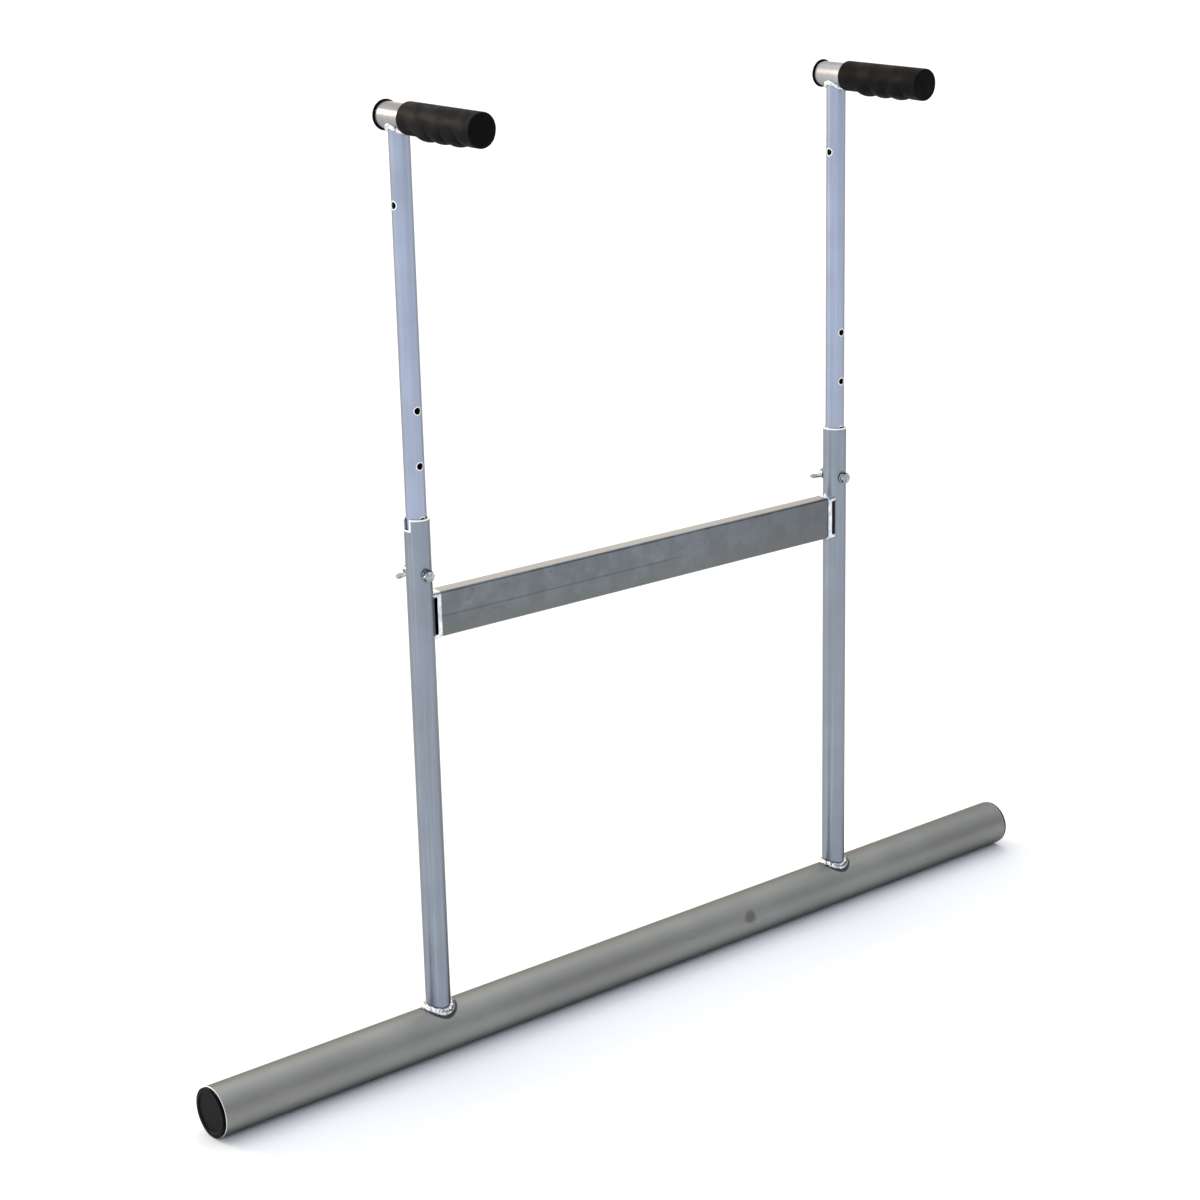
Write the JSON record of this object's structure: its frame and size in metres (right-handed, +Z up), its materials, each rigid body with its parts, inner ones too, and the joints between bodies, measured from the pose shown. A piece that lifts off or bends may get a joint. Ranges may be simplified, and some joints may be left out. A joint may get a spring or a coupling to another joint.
{
  "type": "adjustable handle frame",
  "caption": "Welded frame with a round base tube, sleeve posts tied by a brace, and sliding inner posts that carry forward-pointing moulded grips.",
  "frame": {"origin": "on the floor line under the base tube, midway between the two posts", "axes": "+X along the base tube, +Z up the posts, -Y the way the grips point"},
  "size_m": [1.374, 0.1946, 1.19],
  "materials": {
    "silver_post_finish": "silver metallic coating over welded steel tube, satin",
    "base_tube_finish": "grey metallic coating over steel tube, satin, lightly scuffed",
    "weld_metal": "rippled weld metal, bright",
    "zinc_hardware": "bright zinc plate",
    "black_cap_plastic": "moulded black polyethylene",
    "black_grip_vinyl": "moulded black vinyl, matt, fine grain"
  },
  "bodies": {
    "frame": {"base_tube": "base_tube_finish", "base_cap_left": "black_cap_plastic", "base_cap_right": "black_cap_plastic", "outer_post_left": "silver_post_finish", "outer_post_right": "silver_post_finish", "post_weld_left": "weld_metal", "post_weld_right": "weld_metal", "cross_brace": "silver_post_finish", "brace_weld_left": "weld_metal", "brace_weld_right": "weld_metal"},
    "left_handle": {"inner_post_left": "silver_post_finish", "handle_weld_left": "weld_metal", "handle_tube_left": "silver_post_finish", "handle_cap_left": "black_cap_plastic", "grip_left": "black_grip_vinyl"},
    "left_lock_washer": {"lock_washer_left": "zinc_hardware"},
    "left_lock_bolt": {"lock_bolt_left": "zinc_hardware"},
    "left_wing_washer": {"wing_washer_left": "zinc_hardware"},
    "left_wing_screw": {"wing_screw_left": "zinc_hardware"},
    "right_handle": {"inner_post_right": "silver_post_finish", "handle_weld_right": "weld_metal", "handle_tube_right": "silver_post_finish", "handle_cap_right": "black_cap_plastic", "grip_right": "black_grip_vinyl"},
    "right_lock_washer": {"lock_washer_right": "zinc_hardware"},
    "right_lock_bolt": {"lock_bolt_right": "zinc_hardware"},
    "right_wing_washer": {"wing_washer_right": "zinc_hardware"},
    "right_wing_screw": {"wing_screw_right": "zinc_hardware"}
  },
  "joints": [
    {"name": "left_post_slide", "type": "slide", "parent": "frame", "child": "left_handle", "axis": [0, 0, 1], "range_m": [-0.2001, 0.1334]},
    {"name": "left_lock_bolt_travel", "type": "slide", "parent": "frame", "child": "left_lock_washer", "axis": [0, 1, 0], "range_m": [0, 0.00125]},
    {"name": "left_lock_bolt_turn", "type": "hinge", "parent": "left_lock_washer", "child": "left_lock_bolt", "pos_m": [-0.35, 0, 0.6309], "axis": [0, 1, 0], "range_deg": [0, 360]},
    {"name": "left_wing_screw_travel", "type": "slide", "parent": "frame", "child": "left_wing_washer", "axis": [0, 1, 0], "range_m": [0, 0.00125]},
    {"name": "left_wing_screw_turn", "type": "hinge", "parent": "left_wing_washer", "child": "left_wing_screw", "pos_m": [-0.35, 0, 0.6309], "axis": [0, 1, 0], "range_deg": [0, 360]},
    {"name": "right_post_slide", "type": "slide", "parent": "frame", "child": "right_handle", "axis": [0, 0, 1], "range_m": [-0.2001, 0.1334]},
    {"name": "right_lock_bolt_travel", "type": "slide", "parent": "frame", "child": "right_lock_washer", "axis": [0, 1, 0], "range_m": [0, 0.00125]},
    {"name": "right_lock_bolt_turn", "type": "hinge", "parent": "right_lock_washer", "child": "right_lock_bolt", "pos_m": [0.35, 0, 0.6309], "axis": [0, 1, 0], "range_deg": [0, 360]},
    {"name": "right_wing_screw_travel", "type": "slide", "parent": "frame", "child": "right_wing_washer", "axis": [0, 1, 0], "range_m": [0, 0.00125]},
    {"name": "right_wing_screw_turn", "type": "hinge", "parent": "right_wing_washer", "child": "right_wing_screw", "pos_m": [0.35, 0, 0.6309], "axis": [0, 1, 0], "range_deg": [0, 360]}
  ],
  "couplings": [
    {"joint": "left_lock_bolt_turn", "follows": "left_lock_bolt_travel", "rad_per_m": 5026.5},
    {"joint": "left_wing_screw_turn", "follows": "left_wing_screw_travel", "rad_per_m": 5026.5},
    {"joint": "right_lock_bolt_turn", "follows": "right_lock_bolt_travel", "rad_per_m": 5026.5},
    {"joint": "right_wing_screw_turn", "follows": "right_wing_screw_travel", "rad_per_m": 5026.5}
  ]
}
